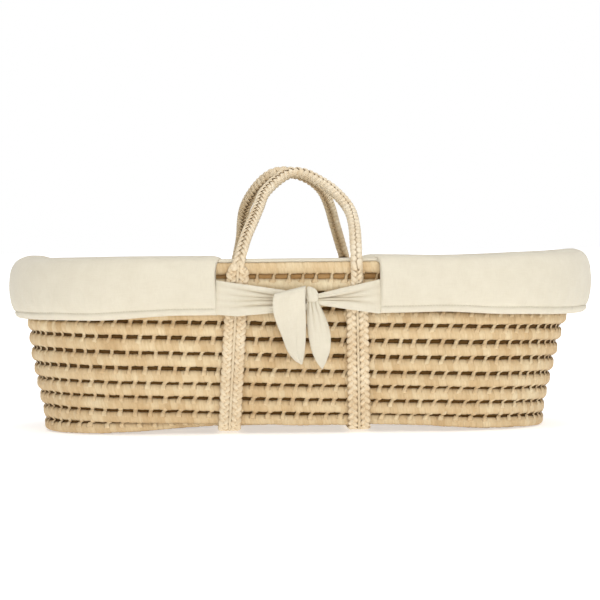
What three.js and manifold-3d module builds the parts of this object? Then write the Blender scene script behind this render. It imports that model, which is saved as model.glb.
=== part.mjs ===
// A Moses basket: an oval basket of coiled palm leaf with two plaited carrying handles,
// a padded cotton liner folded over the rim and tied at the front and back, and a mattress.
// Millimetres, +Z up. X runs along the length, the front faces -Y, and the origin is on the
// floor under the middle of the basket.
import * as THREE from 'three';
import { mergeVertices } from 'three/addons/utils/BufferGeometryUtils.js';
import Module from 'manifold-3d';

// ---- Driving dimensions ----
const RIM_LENGTH = 814; // outside the rim row
const RIM_WIDTH = 410;
const BASE_LENGTH = 724; // outside the lowest row
const BASE_WIDTH = 300;
const BASE_OFFSET = -10; // the base sits this far along X from the rim
const RIM_TOP = 241;
const MIDDLE_CLEARANCE = 13; // floor to the underside of the lowest row at mid-length
const ROW_COUNT = 10; // wall rows below the rim row
const ROW_DEPTH = 14;
const ROW_HEIGHT = 17.5;
const ROW_FLAT = 8; // width of a row's flat top and bottom
const RIM_GAP = 25; // from the rim row's centre to the centre of the row below
const LACING_DEPTH = 5;
const GAP = 0.3; // clearance between touching pieces

const ARCH_START = 60; // the base is level to this distance from mid-length
const ARCH_END = 300; // and stands on the floor from this distance outwards

const LINER_THICKNESS = 8;
const LINER_TOP = RIM_TOP + 4;
const LINER_FLOOR = 28; // underside of the liner's floor
const LINER_FLOOR_THICKNESS = 4;
const SKIRT_TOP = RIM_TOP + 11;
const SKIRT_HEM = 160; // lower edge of the skirt
const SKIRT_PROUD = 14; // how far the skirt stands outside the rim row
const SKIRT_TUCK_GAP = 2; // from the liner to the skirt's tuck inside it
const SKIRT_GAP_CENTRE = -8; // middle of the gap between the two skirt halves
const SKIRT_GAP_WIDTH = 224;

const MATTRESS_THICKNESS = 30;
const MATTRESS_CLEARANCE = 4; // to the liner, all round
const MATTRESS_EDGE = 5; // chamfer round its top and bottom

const STRAP_THICKNESS = 7;
const BRAID_WIDTH = 14;
const CORD_WIDTH = 4;
const CORD_THICKNESS = 5;
const STRAP_TOP_GAP = 10; // below the handle's pivot
const STRAPS = [
  { side: 'left', topX: -91, bottomX: -104, outboard: -1 },
  { side: 'right', topX: 73, bottomX: 77, outboard: 1 },
];

const HANDLE_PIVOT_Y = 218; // distance of the handles' feet from the middle plane
const HANDLE_PIVOT_Z = RIM_TOP + 5;
const HANDLE_LEAN = 32; // degrees above level that a handle leans in over the basket
const HANDLE_RADIUS = 8.7;
const HANDLE_CORE_RADIUS = 4.5;
const HANDLE_STEPS = 24;
// The arch in the handle's own plane: across the basket's length, then up from the feet.
const HANDLE_ARCH = [
  [-81, 0], [-74, 48], [-64, 98], [-51, 145], [-34, 186], [-13, 214],
  [10, 224], [34, 214], [54, 188], [69, 150], [78, 105], [82, 54], [81, 0],
];

const TIE_THICKNESS = 6;
const TIE_FACE_Y = 208; // inner face of the ties, clear of the straps
const KNOT = { x: 11, z: 193, radius: [8, 8, 11] };
const TAIL_THICKNESS = 4;

const RING_SEGMENTS = 36; // round an oval
const STRAIGHT_SHARE = 2 / 9; // of each quarter, spent on the straight side

const LEAF = { color: 0xdcbf8c, roughness: 0.75, metalness: 0 };
const LACING = { color: 0xe6cd9c, roughness: 0.7, metalness: 0 };
const BRAID = { color: 0xe4d3b0, roughness: 0.85, metalness: 0 };
const COTTON = { color: 0xeee8d7, roughness: 0.95, metalness: 0 };

// ---- Heights and half sizes that follow ----
const ROW_HALF = ROW_HEIGHT / 2;
const RIM_Z = RIM_TOP - ROW_HALF;
const LOWEST_Z = MIDDLE_CLEARANCE + ROW_HALF;
const ROW_PITCH = (RIM_Z - RIM_GAP - LOWEST_Z) / (ROW_COUNT - 1);
// How far the arch lets the ends down, so that the lowest row's ends reach the floor.
const ARCH_DROP = MIDDLE_CLEARANCE / (1 - MIDDLE_CLEARANCE / RIM_Z);

const wasm = await Module();
wasm.setup();

const wallFraction = (z) => THREE.MathUtils.clamp((z - LOWEST_Z) / (RIM_Z - LOWEST_Z), 0, 1);
const halfWidthAt = (z) => THREE.MathUtils.lerp(BASE_WIDTH, RIM_WIDTH, wallFraction(z)) / 2;
const halfLengthAt = (z) => THREE.MathUtils.lerp(BASE_LENGTH, RIM_LENGTH, wallFraction(z)) / 2;
const offsetAt = (z) => BASE_OFFSET * (1 - wallFraction(z) ** 2);

function moveVertices(geometry, move) {
  const position = geometry.getAttribute('position');
  const point = new THREE.Vector3();
  for (let i = 0; i < position.count; i += 1) {
    move(point.fromBufferAttribute(position, i));
    position.setXYZ(i, point.x, point.y, point.z);
  }
  return geometry;
}

// Stretches a round ring into the basket's oval at each height: the share of the turn next
// to the middle becomes the straight sides, and the rest the two half circles at the ends.
function stretchToOval(point) {
  const radius = Math.hypot(point.x, point.y);
  const quarter = Math.atan2(Math.abs(point.x), Math.abs(point.y)) / (Math.PI / 2);
  const straight = (halfLengthAt(point.z) - halfWidthAt(point.z)) * Math.min(quarter / STRAIGHT_SHARE, 1);
  const bend = (Math.PI / 2) * Math.max(0, (quarter - STRAIGHT_SHARE) / (1 - STRAIGHT_SHARE));
  point.x = Math.sign(point.x) * (straight + radius * Math.sin(bend));
  point.y = Math.sign(point.y) * radius * Math.cos(bend);
}

// Lets the ends down, most at the base and not at all at the rim.
function letEndsDown(point) {
  const share = THREE.MathUtils.smoothstep(Math.abs(point.x), ARCH_START, ARCH_END);
  point.z -= ARCH_DROP * Math.max(0, 1 - point.z / RIM_Z) * share;
}

// Keeps only the positions, joins shared corners and drops triangles with no area.
function closedGeometry(geometry) {
  geometry.deleteAttribute('normal');
  geometry.deleteAttribute('uv');
  const merged = mergeVertices(geometry);
  const index = [];
  for (let i = 0; i < merged.index.count; i += 3) {
    const corners = [0, 1, 2].map((k) => merged.index.getX(i + k));
    if (new Set(corners).size === 3) index.push(...corners);
  }
  merged.setIndex(index);
  merged.computeVertexNormals();
  return merged;
}

// A solid turned from a profile of [radius, height] corners, in the basket's oval, each
// height moved along X by `offset`.
function ovalSolid(profile, offset = offsetAt) {
  const points = profile.map(([radius, height]) => new THREE.Vector2(radius, height));
  const geometry = new THREE.LatheGeometry(points, RING_SEGMENTS);
  geometry.rotateX(Math.PI / 2);
  moveVertices(geometry, stretchToOval);
  moveVertices(geometry, (point) => { point.x += offset(point.z); });
  moveVertices(geometry, letEndsDown);
  return closedGeometry(geometry);
}

function ovalRing(profile, offset = offsetAt) {
  return ovalSolid([...profile, profile[0]], offset);
}

function toManifold(geometry) {
  return new wasm.Manifold(new wasm.Mesh({
    numProp: 3,
    vertProperties: new Float32Array(geometry.getAttribute('position').array),
    triVerts: new Uint32Array(geometry.index.array),
  }));
}

function fromManifold(solid) {
  const mesh = solid.getMesh();
  const geometry = new THREE.BufferGeometry();
  geometry.setAttribute('position', new THREE.BufferAttribute(mesh.vertProperties, 3));
  geometry.setIndex(new THREE.BufferAttribute(mesh.triVerts, 1));
  geometry.computeVertexNormals();
  return geometry;
}

function namedMesh(name, geometry, look) {
  const mesh = new THREE.Mesh(geometry, new THREE.MeshStandardMaterial(look));
  mesh.name = name;
  return mesh;
}

// ---- The coiled basket ----
function rowHeights() {
  const heights = Array.from({ length: ROW_COUNT }, (_, i) => LOWEST_Z + i * ROW_PITCH);
  return [...heights, RIM_Z];
}

function rowGeometry(z) {
  const middle = halfWidthAt(z) - ROW_DEPTH / 2;
  const reach = ROW_DEPTH / 2;
  const flat = ROW_FLAT / 2;
  return ovalRing([
    [middle + reach, z], [middle + flat, z + ROW_HALF], [middle - flat, z + ROW_HALF],
    [middle - reach, z], [middle - flat, z - ROW_HALF], [middle + flat, z - ROW_HALF],
  ]);
}

// The leaf strips that lace one row to the next, as one band along the gap.
function lacingGeometry(lowerZ, upperZ) {
  const middle = halfWidthAt((lowerZ + upperZ) / 2) - ROW_DEPTH / 2;
  const half = LACING_DEPTH / 2;
  const bottom = lowerZ + ROW_HALF + GAP;
  const top = upperZ - ROW_HALF - GAP;
  return ovalRing([
    [middle + half, bottom], [middle + half, top], [middle - half, top], [middle - half, bottom],
  ]);
}

function coiledBasket() {
  const basket = new THREE.Group();
  const heights = rowHeights();
  heights.forEach((z, i) => {
    const number = String(i + 1).padStart(2, '0');
    const name = i === ROW_COUNT ? 'rim_row' : `wall_row_${number}`;
    basket.add(namedMesh(name, rowGeometry(z), LEAF));
    if (i < ROW_COUNT) {
      basket.add(namedMesh(`row_lacing_${number}`, lacingGeometry(z, heights[i + 1]), LACING));
    }
  });
  const edge = halfWidthAt(LOWEST_Z) - ROW_DEPTH - 2 * GAP;
  const bottom = MIDDLE_CLEARANCE + 2;
  const top = LINER_FLOOR - 1;
  const base = ovalSolid([[0, bottom], [edge / 2, bottom], [edge, bottom], [edge, top], [edge / 2, top], [0, top]]);
  basket.add(namedMesh('base_coil', base, LEAF));
  return basket;
}

// ---- Straps: two braids and a centre cord down the wall and under the base ----
// Outline in [distance from the middle plane, height], from `inner` to `outer` off the wall.
function wallStrapOutline(inner, outer) {
  const top = HANDLE_PIVOT_Z - STRAP_TOP_GAP;
  const underside = MIDDLE_CLEARANCE - 2.1; // clears the row where the arch lets it down
  const base = BASE_WIDTH / 2;
  const rim = RIM_WIDTH / 2;
  const line = (off) => [
    [rim + off, top], [rim + off, RIM_Z], [base + off, LOWEST_Z],
    [base + 0.75 * off - 1.5, underside + 1.5 - 0.75 * off], [base - 12, underside - off],
  ];
  return [...line(inner), ...line(outer).reverse()];
}

function baseStrapOutline(inner, outer) {
  const end = BASE_WIDTH / 2 - 12 - GAP;
  const underside = MIDDLE_CLEARANCE - 2.1;
  return [[end, underside - inner], [end, underside - outer], [-end, underside - outer], [-end, underside - inner]];
}

// Extrudes an outline along X and slants it with the strap from its top to its bottom.
function strapGeometry(outline, strap, from, width, facing) {
  const shape = new THREE.Shape(outline.map(([out, z]) => new THREE.Vector2(facing * out, z)));
  const geometry = new THREE.ExtrudeGeometry(shape, { depth: width, bevelEnabled: false });
  // Shape x becomes -Y, shape y becomes Z, and the depth becomes X.
  geometry.applyMatrix4(new THREE.Matrix4().makeBasis(
    new THREE.Vector3(0, -1, 0), new THREE.Vector3(0, 0, 1), new THREE.Vector3(-1, 0, 0)));
  moveVertices(geometry, (point) => {
    const rise = (point.z - LOWEST_Z) / (RIM_Z - LOWEST_Z);
    point.x += from + width + THREE.MathUtils.lerp(strap.bottomX, strap.topX, rise);
  });
  moveVertices(geometry, letEndsDown);
  return closedGeometry(geometry);
}

function strapPieces(strap) {
  const group = new THREE.Group();
  const proud = 2 * GAP;
  const braid = [proud, proud + STRAP_THICKNESS];
  const cordInset = (STRAP_THICKNESS - CORD_THICKNESS) / 2;
  const cord = [proud + cordInset, proud + cordInset + CORD_THICKNESS];
  const beside = CORD_WIDTH / 2 + GAP;
  const leftOfCord = -beside - BRAID_WIDTH;
  const strands = [
    { name: 'outboard_braid', depth: braid, from: strap.outboard < 0 ? leftOfCord : beside, width: BRAID_WIDTH },
    { name: 'inboard_braid', depth: braid, from: strap.outboard < 0 ? beside : leftOfCord, width: BRAID_WIDTH },
    { name: 'cord', depth: cord, from: -CORD_WIDTH / 2, width: CORD_WIDTH },
  ];
  for (const { name, depth, from, width } of strands) {
    const runs = [
      ['front', wallStrapOutline(...depth), 1],
      ['base', baseStrapOutline(...depth), 1],
      ['rear', wallStrapOutline(...depth), -1],
    ];
    for (const [run, outline, facing] of runs) {
      const geometry = strapGeometry(outline, strap, from, width, facing);
      group.add(namedMesh(`${strap.side}_strap_${run}_${name}`, geometry, BRAID));
    }
  }
  return group;
}

// ---- Handles: a rope core between an outer and an inner braid ----
function halfTubeShape(facing) {
  const inner = HANDLE_CORE_RADIUS + GAP;
  const tilt = Math.asin(GAP / inner);
  const arc = (radius, from, to) => new THREE.Path().absarc(0, 0, radius, from, to, to < from).getPoints(2);
  const outside = arc(HANDLE_RADIUS, tilt / 2, Math.PI - tilt / 2);
  const inside = arc(inner, Math.PI - tilt, tilt);
  return new THREE.Shape([...outside, ...inside].map((p) => new THREE.Vector2(facing * p.x, facing * p.y)));
}

function handlePieces(name) {
  const group = new THREE.Group();
  const path = new THREE.CatmullRomCurve3(HANDLE_ARCH.map(([along, up]) => new THREE.Vector3(along, up, 0)));
  const sections = {
    outer_braid: halfTubeShape(1),
    inner_braid: halfTubeShape(-1),
    core: new THREE.Shape(new THREE.Path().absarc(0, 0, HANDLE_CORE_RADIUS, 0, 2 * Math.PI).getPoints(4)),
  };
  for (const [part, section] of Object.entries(sections)) {
    const geometry = new THREE.ExtrudeGeometry(section, { steps: HANDLE_STEPS, extrudePath: path });
    group.add(namedMesh(`${name}_${part}`, closedGeometry(geometry), BRAID));
  }
  return group;
}

function handle(name, facing) {
  const leaning = new THREE.Group();
  leaning.add(handlePieces(name));
  leaning.rotation.x = THREE.MathUtils.degToRad(HANDLE_LEAN);
  const placed = new THREE.Group();
  placed.add(leaning);
  placed.position.set(SKIRT_GAP_CENTRE, -facing * HANDLE_PIVOT_Y, HANDLE_PIVOT_Z);
  placed.rotation.z = facing > 0 ? 0 : Math.PI;
  return placed;
}

// ---- Liner: a padded tub inside the basket and a skirt half over each end of the rim ----
const linerOutsideAt = (z) => halfWidthAt(z) - ROW_DEPTH - 2 * GAP;
const linerInsideAt = (z) => linerOutsideAt(z) - LINER_THICKNESS;

function linerTub() {
  const floorTop = LINER_FLOOR + LINER_FLOOR_THICKNESS;
  const heights = [80, 130, 180, RIM_Z, LINER_TOP];
  return ovalSolid([
    [0, LINER_FLOOR], [linerOutsideAt(LINER_FLOOR) / 2, LINER_FLOOR],
    [linerOutsideAt(LINER_FLOOR) - 1, LINER_FLOOR], ...heights.map((z) => [linerOutsideAt(z), z]),
    ...heights.toReversed().map((z) => [linerInsideAt(z), z]),
    [linerInsideAt(floorTop), floorTop], [linerInsideAt(floorTop) / 2, floorTop], [0, floorTop],
  ]);
}

function skirtRing() {
  const rim = RIM_WIDTH / 2;
  const out = rim + SKIRT_PROUD;
  const tuckZ = RIM_TOP - 25; // lower edge of the skirt's tuck inside the liner
  const tuck = linerInsideAt(tuckZ) - SKIRT_TUCK_GAP;
  const tuckTop = linerInsideAt(LINER_TOP) - GAP;
  return ovalRing([
    [rim - 6, SKIRT_HEM], [out - 9, SKIRT_HEM + 4], [out - 2, SKIRT_HEM + 18], [out, SKIRT_HEM + 40],
    [out - 2, RIM_TOP - 15], [out - 10, RIM_TOP + 2], [rim - 4, SKIRT_TOP - 2], [rim - 17, SKIRT_TOP],
    [tuckTop - 3, SKIRT_TOP - 2], [tuckTop - 6, RIM_TOP], [tuck - 6, tuckZ],
    [tuck, tuckZ], [tuckTop, RIM_Z], [tuckTop, LINER_TOP + GAP],
    [rim - 13, LINER_TOP + GAP], [rim, RIM_TOP + 1], [out - 10, RIM_TOP - 6], [out - 9, SKIRT_HEM + 42],
    [out - 11, SKIRT_HEM + 25], [out - 18, SKIRT_HEM + 12], [rim - 8, SKIRT_HEM + 8],
  ], () => 0);
}

function skirtHalf(ring, side) {
  const length = RIM_LENGTH;
  const nearX = SKIRT_GAP_CENTRE + side * SKIRT_GAP_WIDTH / 2;
  const box = new THREE.BoxGeometry(length, 2 * RIM_WIDTH, 2 * SKIRT_TOP);
  box.translate(nearX + side * length / 2, 0, SKIRT_TOP / 2);
  return fromManifold(toManifold(ring).intersect(toManifold(closedGeometry(box))));
}

// ---- Ties, knot and tails ----
// A flat piece of cloth standing in the XZ plane, its inner face `out` from the middle plane.
function flatCloth(shape, thickness, out) {
  const geometry = new THREE.ExtrudeGeometry(shape, { depth: thickness, bevelEnabled: false, curveSegments: 4 });
  geometry.rotateX(Math.PI / 2);
  geometry.translate(0, -out, 0);
  return closedGeometry(geometry);
}

function tieShape(coverX, knotX) {
  const shape = new THREE.Shape();
  shape.moveTo(coverX, 214);
  shape.quadraticCurveTo((coverX + knotX) / 2, 205, knotX, 195);
  shape.lineTo(knotX, 182);
  shape.quadraticCurveTo((coverX + knotX) / 2, 176, coverX, 170);
  return shape;
}

function longTailShape() {
  const shape = new THREE.Shape();
  shape.moveTo(1, 207);
  shape.quadraticCurveTo(-28, 206, -43, 196);
  shape.bezierCurveTo(-45, 165, -34, 110, -5, 100);
  shape.quadraticCurveTo(2, 140, 1, 207);
  return shape;
}

function shortTailShape() {
  const shape = new THREE.Shape();
  shape.moveTo(14, 181);
  shape.bezierCurveTo(0, 165, 2, 118, 24, 92);
  shape.bezierCurveTo(40, 120, 38, 165, 17, 181);
  return shape;
}

function tieSet(name) {
  const group = new THREE.Group();
  const reach = SKIRT_GAP_WIDTH / 2 - 2 * GAP;
  const knotGap = KNOT.radius[0] + GAP;
  const knot = new THREE.SphereGeometry(1, 12, 8);
  knot.scale(...KNOT.radius);
  knot.translate(KNOT.x, -TIE_FACE_Y - TIE_THICKNESS / 2 - 2, KNOT.z);
  const tailFace = TIE_FACE_Y + TIE_THICKNESS / 2 + KNOT.radius[1] + 3;
  const pieces = {
    tie_left: flatCloth(tieShape(SKIRT_GAP_CENTRE - reach, KNOT.x - knotGap), TIE_THICKNESS, TIE_FACE_Y),
    tie_right: flatCloth(tieShape(SKIRT_GAP_CENTRE + reach, KNOT.x + knotGap), TIE_THICKNESS, TIE_FACE_Y),
    knot: closedGeometry(knot),
    long_tail: flatCloth(longTailShape(), TAIL_THICKNESS, tailFace),
    short_tail: flatCloth(shortTailShape(), TAIL_THICKNESS, TIE_FACE_Y + TIE_THICKNESS / 2),
  };
  for (const [part, geometry] of Object.entries(pieces)) {
    group.add(namedMesh(`${name}_${part}`, geometry, COTTON));
  }
  return group;
}

// The back's ties are the front's, turned half round about the gap's middle.
function rearTieSet() {
  const group = tieSet('rear');
  group.rotation.z = Math.PI;
  group.position.x = 2 * SKIRT_GAP_CENTRE;
  return group;
}

function mattressGeometry() {
  const bottom = LINER_FLOOR + LINER_FLOOR_THICKNESS + 2 * GAP;
  const top = bottom + MATTRESS_THICKNESS;
  const edge = halfWidthAt(bottom) - ROW_DEPTH - LINER_THICKNESS - MATTRESS_CLEARANCE;
  const inner = edge - MATTRESS_EDGE;
  return ovalSolid([
    [0, bottom], [inner / 2, bottom], [inner, bottom], [edge, bottom + MATTRESS_EDGE],
    [edge, top - MATTRESS_EDGE], [inner, top], [inner / 2, top], [0, top],
  ]);
}

const mosesBasket = new THREE.Group();
mosesBasket.add(coiledBasket());
STRAPS.forEach((strap) => mosesBasket.add(strapPieces(strap)));
mosesBasket.add(handle('front_handle', 1));
mosesBasket.add(handle('rear_handle', -1));
mosesBasket.add(namedMesh('liner_tub', linerTub(), COTTON));
const skirt = skirtRing();
mosesBasket.add(namedMesh('liner_skirt_left', skirtHalf(skirt, -1), COTTON));
mosesBasket.add(namedMesh('liner_skirt_right', skirtHalf(skirt, 1), COTTON));
mosesBasket.add(tieSet('front'));
mosesBasket.add(rearTieSet());
mosesBasket.add(namedMesh('mattress', mattressGeometry(), COTTON));

export default mosesBasket;
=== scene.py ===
import math

import bpy
import numpy as np
from mathutils import Matrix, Vector


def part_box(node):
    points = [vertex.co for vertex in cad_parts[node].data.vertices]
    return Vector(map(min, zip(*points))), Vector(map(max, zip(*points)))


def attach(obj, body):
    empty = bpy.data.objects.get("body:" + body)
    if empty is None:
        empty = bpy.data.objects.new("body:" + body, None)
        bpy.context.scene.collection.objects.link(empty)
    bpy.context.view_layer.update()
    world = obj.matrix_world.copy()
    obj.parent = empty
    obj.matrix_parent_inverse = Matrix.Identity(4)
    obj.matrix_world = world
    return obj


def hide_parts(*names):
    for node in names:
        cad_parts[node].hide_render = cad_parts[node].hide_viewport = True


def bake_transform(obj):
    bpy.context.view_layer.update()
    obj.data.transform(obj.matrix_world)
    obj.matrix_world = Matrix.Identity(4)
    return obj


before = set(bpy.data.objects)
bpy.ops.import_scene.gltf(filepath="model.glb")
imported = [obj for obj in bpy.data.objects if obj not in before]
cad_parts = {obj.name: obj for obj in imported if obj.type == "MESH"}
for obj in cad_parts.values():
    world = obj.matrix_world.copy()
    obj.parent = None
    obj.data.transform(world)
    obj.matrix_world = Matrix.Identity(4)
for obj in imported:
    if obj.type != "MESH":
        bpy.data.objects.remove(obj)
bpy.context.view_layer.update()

MM = 0.001
TURN = 2 * math.pi

# ---- sizes, worked out from the frame
RIM_LOW, RIM_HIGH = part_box("rim_row")
LOW_ROW_LOW, LOW_ROW_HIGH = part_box("wall_row_01")
SKIRT_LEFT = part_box("liner_skirt_left")
SKIRT_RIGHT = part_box("liner_skirt_right")

ROW_DEPTH = 14 * MM
ROW_HEIGHT = 17.5 * MM
COIL_OUT = ROW_DEPTH / 2
COIL_UP = ROW_HEIGHT / 2
RIM_GAP = 25 * MM  # rim row to the row below, centre to centre
WALL_ROWS = 10

RIM_TOP = RIM_HIGH.z
RIM_Z = RIM_TOP - COIL_UP
CLEARANCE = 13 * MM  # floor to the lowest row at mid-length
LOWEST_Z = CLEARANCE + COIL_UP
ROW_PITCH = (RIM_Z - RIM_GAP - LOWEST_Z) / (WALL_ROWS - 1)
RIM_HALF = ((RIM_HIGH.x - RIM_LOW.x) / 2, (RIM_HIGH.y - RIM_LOW.y) / 2)
BASE_HALF = ((LOW_ROW_HIGH.x - LOW_ROW_LOW.x) / 2, (LOW_ROW_HIGH.y - LOW_ROW_LOW.y) / 2)
BASE_OFFSET = (LOW_ROW_HIGH.x + LOW_ROW_LOW.x) / 2
ARCH_START, ARCH_END = 105 * MM, 335 * MM
ARCH_DROP = CLEARANCE / (1 - CLEARANCE / RIM_Z)
LINER_THICKNESS = 8 * MM
LINER_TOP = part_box("liner_tub")[1].z
GAP_LEFT = SKIRT_LEFT[1].x
GAP_RIGHT = SKIRT_RIGHT[0].x
GAP_CENTRE = (GAP_LEFT + GAP_RIGHT) / 2


# ---- small maths
def smoothstep(x, low, high):
    t = np.clip((np.asarray(x, float) - low) / (high - low), 0, 1)
    return t * t * (3 - 2 * t)


def lerp(a, b, t):
    return a + (b - a) * t


def unit(v):
    return v / np.maximum(np.linalg.norm(v, axis=-1, keepdims=True), 1e-12)


def wobble(x, scale, seed):
    """Smooth noise in -1..1 along x, from a few sine waves with seeded phases."""
    rng = np.random.default_rng(seed)
    total = np.zeros_like(np.asarray(x, float))
    for k in range(1, 6):
        phase, stretch = rng.uniform(0, TURN), rng.uniform(0.8, 1.25)
        total += np.sin(np.asarray(x) * TURN * k * stretch / (scale * 2.2) + phase) / k ** 0.7
    return total / 2.6


def spline(points, count):
    """Catmull-Rom curve through the points, sampled evenly along its length."""
    p = np.asarray(points, float)
    ends = np.vstack([2 * p[0] - p[1], p, 2 * p[-1] - p[-2]])
    t = np.linspace(0, 1, 24, endpoint=False)[:, None]
    runs = []
    for a, b, c, d in zip(ends, ends[1:], ends[2:], ends[3:]):
        runs.append(0.5 * (2 * b + (c - a) * t + (2 * a - 5 * b + 4 * c - d) * t ** 2
                           + (3 * b - a - 3 * c + d) * t ** 3))
    return resample(np.vstack([*runs, p[-1:]]), count)


def resample(points, count):
    steps = np.linalg.norm(np.diff(points, axis=0), axis=1)
    along = np.concatenate([[0], np.cumsum(steps)])
    wanted = np.linspace(0, along[-1], count)
    return np.stack([np.interp(wanted, along, points[:, k]) for k in range(points.shape[1])], 1)


def lengths_along(points):
    return np.concatenate([[0], np.cumsum(np.linalg.norm(np.diff(points, axis=0), axis=1))])


# ---- the basket's oval
def wall_share(z):
    return np.clip((z - LOWEST_Z) / (RIM_Z - LOWEST_Z), 0, 1)


def half_width_at(z):
    return lerp(BASE_HALF[1], RIM_HALF[1], wall_share(z))


def straight_at(z):
    """Half the length of the straight side."""
    return lerp(BASE_HALF[0] - BASE_HALF[1], RIM_HALF[0] - RIM_HALF[1], wall_share(z))


def offset_at(z):
    return BASE_OFFSET * (1 - wall_share(z) ** 2)


def oval(turn, straight, radius):
    """Point and outward normal on a stadium, `turn` of the way round from the middle of the
    front, clockwise from above."""
    perimeter = 4 * straight + TURN * radius
    s = np.mod(turn, 1) * perimeter
    bend = np.pi * radius
    left = np.clip((s - straight) / radius, 0, np.pi)
    right = np.clip((s - 3 * straight - bend) / radius, 0, np.pi)
    angle = left + right
    run = (-np.clip(s, 0, straight) + np.clip(s - straight - bend, 0, 2 * straight)
           - np.clip(s - 3 * straight - 2 * bend, 0, straight))
    normal = np.stack([-np.sin(angle), -np.cos(angle)], -1)
    return run + radius * normal[..., 0], radius * normal[..., 1], normal


def arch(x, z):
    """How far the arched base lets a point down."""
    return ARCH_DROP * np.maximum(0, 1 - z / RIM_Z) * smoothstep(np.abs(x), ARCH_START, ARCH_END)


def on_oval(turn, radius, z):
    """Points at a distance `radius` from the stadium's core line, at height z, with normals."""
    x, y, normal = oval(turn, straight_at(z), radius)
    x = x + offset_at(z)
    point = np.stack([x, y, z - arch(x, z)], -1)
    return point, np.concatenate([normal, np.zeros_like(normal[..., :1])], -1)


# ---- mesh building
def add_object(name, data):
    made = bpy.data.objects.new(name, data)
    bpy.context.scene.collection.objects.link(made)
    return made


class Builder:
    """Collects closed tubes and sheets of quads, with UVs in metres and two values a vertex:
    `tone`, a random tone for each strip, and how much painted shade darkens a spot in a hollow, a crease or
    on an underside."""

    def __init__(self):
        self.points, self.quads, self.uvs, self.caps = [], [], [], []
        self.tones, self.painted_shades = [], []
        self.count = 0

    def grid(self, rings, u, v, tone=0.5, painted_shade=0.0):
        """Adds a tube: rows of closed rings, with a cap at each end."""
        n, m = rings.shape[:2]
        index = self.count + np.arange(n * m).reshape(n, m)
        i, j = np.meshgrid(np.arange(n - 1), np.arange(m), indexing="ij")
        k = (j + 1) % m
        quads = np.stack([index[i, j], index[i, k], index[i + 1, k], index[i + 1, j]], -1)
        v_ends = np.append(v, v[0] + (v[-1] - v[0]) * m / (m - 1))
        uv = np.stack([np.stack([u[i], v_ends[j]], -1), np.stack([u[i], v_ends[j + 1]], -1),
                       np.stack([u[i + 1], v_ends[j + 1]], -1), np.stack([u[i + 1], v_ends[j]], -1)], 2)
        self.points.append(rings.reshape(-1, 3))
        self.quads.append(quads.reshape(-1, 4))
        self.uvs.append(uv.reshape(-1, 4, 2))
        self.tones.append(np.broadcast_to(np.asarray(tone, float), (n, m)).reshape(-1))
        self.painted_shades.append(np.broadcast_to(np.asarray(painted_shade, float), (n, m)).reshape(-1))
        self.caps.append((index[0, ::-1], u[0], v))
        self.caps.append((index[-1], u[-1], v))
        self.count += n * m

    def build(self, name, material):
        quads, uvs = np.vstack(self.quads), np.vstack(self.uvs)
        faces = quads.tolist() + [cap.tolist() for cap, _, _ in self.caps]
        mesh = bpy.data.meshes.new(name)
        mesh.from_pydata(np.vstack(self.points).tolist(), [], faces)
        flat = [uvs.reshape(-1, 2)]
        for cap, u, v in self.caps:
            flat.append(np.stack([np.full(len(cap), u), np.resize(v, len(cap))], -1))
        layer = mesh.uv_layers.new(name="UVMap")
        layer.data.foreach_set("uv", np.vstack(flat).astype(np.float32).ravel())
        for key, values in (("tone", self.tones), ("painted_shade", self.painted_shades)):
            attribute = mesh.attributes.new(key, "FLOAT", "POINT")
            attribute.data.foreach_set("value", np.concatenate(values).astype(np.float32))
        mesh.polygons.foreach_set("use_smooth", [True] * len(mesh.polygons))
        mesh.materials.append(material)
        mesh.update()
        return add_object(name, mesh)


def tube_piece(name, material, rings, u, v, tone=0.5, painted_shade=0.0):
    """A piece that is one tube."""
    made = Builder()
    made.grid(rings, u, v, tone, painted_shade)
    return made.build(name, material)


def finish_piece(piece, body, slot, *nodes):
    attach(piece, body)
    if nodes:
        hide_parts(*nodes)
    return piece


def loop_angles(count):
    return np.arange(count) * TURN / count


def rings_round(line, ring, side, high):
    """Rings round a line, with half axes `side` and `high` at each point."""
    return (line[:, None] + np.cos(ring)[None, :, None] * side[:, None]
            + np.sin(ring)[None, :, None] * high[:, None])


def sheet_ring(front, back):
    """Joins the two faces of a sheet, each rows of points, into closed rings."""
    return np.concatenate([front, back[:, ::-1]], 1)


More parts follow.
